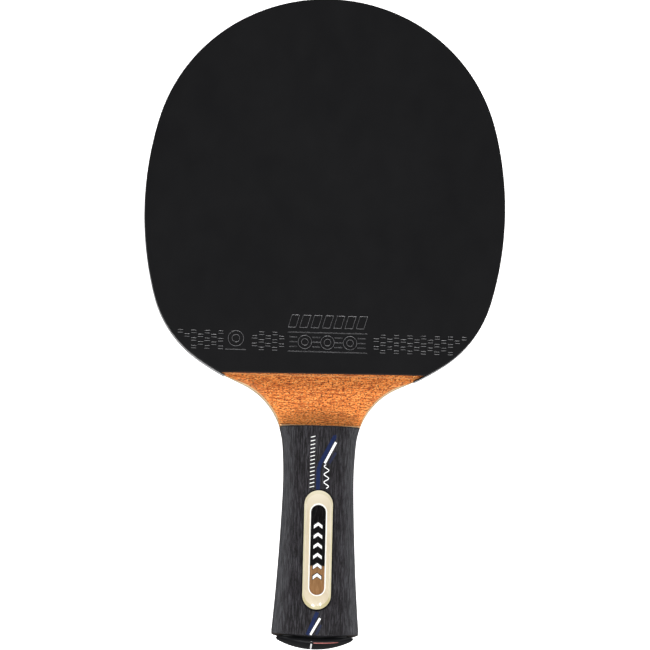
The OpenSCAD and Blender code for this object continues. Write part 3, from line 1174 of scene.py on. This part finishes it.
def butt_cap():
    """A domed cap that stands off the grip by a fine shadow gap."""
    rings = []
    for scale_by, y_of in cap_stations():
        ring = []
        for k in range(CAP_SIDES):
            a = math.tau * k / CAP_SIDES
            across = math.copysign(abs(math.cos(a)) ** (2 / SECTION_POWER), math.cos(a))
            x = CAP_HALF_W * scale_by * across
            z = math.copysign(cap_height(x, scale_by), math.sin(a))
            ring.append((x, y_of(x, z), MID_Z + z))
        rings.append(ring)
    piece("cap", *loft(rings), [CAP_PLASTIC], ["butt_cap"], "cap_plastic", sharp=50)


STRIP_STEPS = 14
FIRST_OUTSIDE_STATION = 4


def cap_strip(name, left, right, start, stop, material):
    """A thin printed strip over the cap, between two distances along its skin from the rim."""
    columns = max(2, round((right - left) / 0.8))
    top, bottom = [], []
    for c in range(columns + 1):
        x = left + (right - left) * c / columns
        skin_line = [(y_of(x, cap_height(x, s)), cap_height(x, s))
                     for s, y_of in cap_stations()[FIRST_OUTSIDE_STATION:]]
        row = skin_part(skin_line, start, stop)
        top += [(x, y - 0.02, MID_Z + z + 0.02) for y, z in row]
        bottom += [(x, y + 0.03, MID_Z + z - 0.03) for y, z in row]
    piece(name, *thin_patch(top, bottom, STRIP_STEPS + 1), [material], slot="cap_plastic")


def skin_part(line, start, stop):
    """Evenly spaced points between two distances along a polyline."""
    lengths = [0.0]
    for a, b in zip(line, line[1:]):
        lengths.append(lengths[-1] + math.dist(a, b))
    points = []
    for k in range(STRIP_STEPS + 1):
        want = start + (stop - start) * k / STRIP_STEPS
        i = max(j for j in range(len(lengths) - 1) if lengths[j] <= want or j == 0)
        t = min(max((want - lengths[i]) / max(lengths[i + 1] - lengths[i], 1e-9), 0.0), 1.0)
        points.append(tuple(line[i][m] + (line[i + 1][m] - line[i][m]) * t for m in (0, 1)))
    return points


def cap_prints():
    """A white line over the dome and a short red bar near its front edge."""
    cap_strip("cap_line", -1.95, -1.3, 1.0, 19.0, WHITE_INK)
    cap_strip("cap_bar", -0.7, 9.6, 1.5, 1.95, RED_INK)


# ---- studio

CAMERA_AWAY = 8000.0
CAMERA_TILT = 5.8
CAMERA_SIDE = -2.0
CAMERA_ROLL = -1.37
VIEW_SPAN = 271.15
AIM = (1.25, -0.2)
FLOOR_HALF = 3000.0
FLOOR_GAP = 0.02


def floor():
    """A pale floor through the two places that the paddle rests on: the grip and the crown."""
    rest_low = 2 * MID_Z - RUBBER_TOP
    slope = rest_low / (CROWN_Y - GRIP_Y)
    verts = [(x * FLOOR_HALF, y * FLOOR_HALF, (y * FLOOR_HALF - GRIP_Y) * slope - FLOOR_GAP)
             for x, y in SQUARE]
    mesh = mesh_of("floor", verts, [(0, 1, 2, 3)])
    p = Paint("floor", Roughness=0.9, Specular_IOR_Level=0.1, Emission_Strength=0.95)
    tone = p.noise(300, 300, 300)
    p.to("Base Color", p.ramp(tone, [(0.3, (0.87, 0.87, 0.87)), (0.7, (0.90, 0.90, 0.90))]))
    p.shader.inputs["Emission Color"].default_value = (1, 1, 1, 1)
    mesh.materials.append(p.material)
    obj = placed("floor", mesh)
    obj.visible_glossy = False
    obj.visible_diffuse = False


def softbox(name, place, aim, width, height, power):
    """An area light that faces a point; power is in watts."""
    data = bpy.data.lights.new(name, "AREA")
    data.shape, data.size, data.size_y, data.energy = "RECTANGLE", width, height, power
    obj = placed(name, data)
    obj.location = place
    obj.rotation_euler = (Vector(aim) - Vector(place)).to_track_quat("-Z", "Y").to_euler()


def soft_world():
    """Soft light that is darkest overhead, so that flat dark faces stay dark."""
    world = bpy.data.worlds.new("studio")
    world.use_nodes = True
    nodes, links = world.node_tree.nodes, world.node_tree.links
    split = nodes.new("ShaderNodeSeparateXYZ")
    links.new(nodes.new("ShaderNodeTexCoord").outputs["Generated"], split.inputs["Vector"])
    ramp = nodes.new("ShaderNodeValToRGB")
    links.new(split.outputs["Z"], ramp.inputs["Fac"])
    first, last = ramp.color_ramp.elements
    first.position, first.color = 0.0, (0.22, 0.22, 0.22, 1)
    last.position, last.color = 0.85, (0.05, 0.05, 0.05, 1)
    for place in (0.08, 0.35):
        ramp.color_ramp.elements.new(place).color = (1, 1, 1, 1)
    links.new(ramp.outputs["Color"], nodes["Background"].inputs["Color"])
    nodes["Background"].inputs["Strength"].default_value = 0.5
    bpy.context.scene.world = world


def studio():
    """The floor, the soft world and the lamps, with plain colours in the picture."""
    floor()
    soft_world()
    softbox("left", (-1.2, 0.0, 0.18), (0, 0, 0), 0.4, 1.2, 3.5)
    softbox("right", (1.2, 0.0, 0.18), (0, 0, 0), 0.4, 1.2, 3.5)
    softbox("crown", (0.0, 1.15, 0.7), (0, 0, 0), 1.4, 0.25, 14)
    softbox("butt_left", (-0.45, -0.92, 1.1), (0, -0.05, 0), 0.7, 0.25, 9.8)
    softbox("butt_right", (0.5, -0.92, 1.1), (0, -0.05, 0), 0.7, 0.25, 9.8)
    softbox("glint_left", (-0.10, -0.42, 1.3), (0, -0.1, 0), 0.09, 0.045, 1.9)
    softbox("glint_right", (0.20, -0.38, 1.3), (0, -0.1, 0), 0.045, 0.09, 1.6)
    bpy.context.scene.view_settings.view_transform = "Standard"


def camera():
    """A long lens almost straight above the black face, a little toward the butt."""
    data = bpy.data.cameras.new("camera")
    obj = placed("camera", data)
    tilt, side = math.radians(CAMERA_TILT), math.radians(CAMERA_SIDE)
    back = Vector((math.sin(side), -math.sin(tilt), math.cos(tilt) * math.cos(side))).normalized()
    aim = Vector((AIM[0] * MM, AIM[1] * MM, MID_Z * MM))
    obj.location = aim + back * CAMERA_AWAY * MM
    right = Vector((0, 1, 0)).cross(back).normalized()
    up = back.cross(right)
    roll = math.radians(CAMERA_ROLL)
    across = right * math.cos(roll) - up * math.sin(roll)
    above = back.cross(across)
    obj.rotation_mode = "QUATERNION"
    obj.rotation_quaternion = Matrix((across, above, back)).transposed().to_quaternion()
    data.sensor_width = 36.0
    data.lens = data.sensor_width * CAMERA_AWAY / VIEW_SPAN
    data.clip_start, data.clip_end = 0.1, 20.0
    bpy.context.scene.camera = obj


# ---- the paddle

blade()
rubbers()
edge_tape()
grip()
lens_ring()
lens_plate()
grip_prints()
plate_prints()
butt_cap()
cap_prints()
studio()
camera()
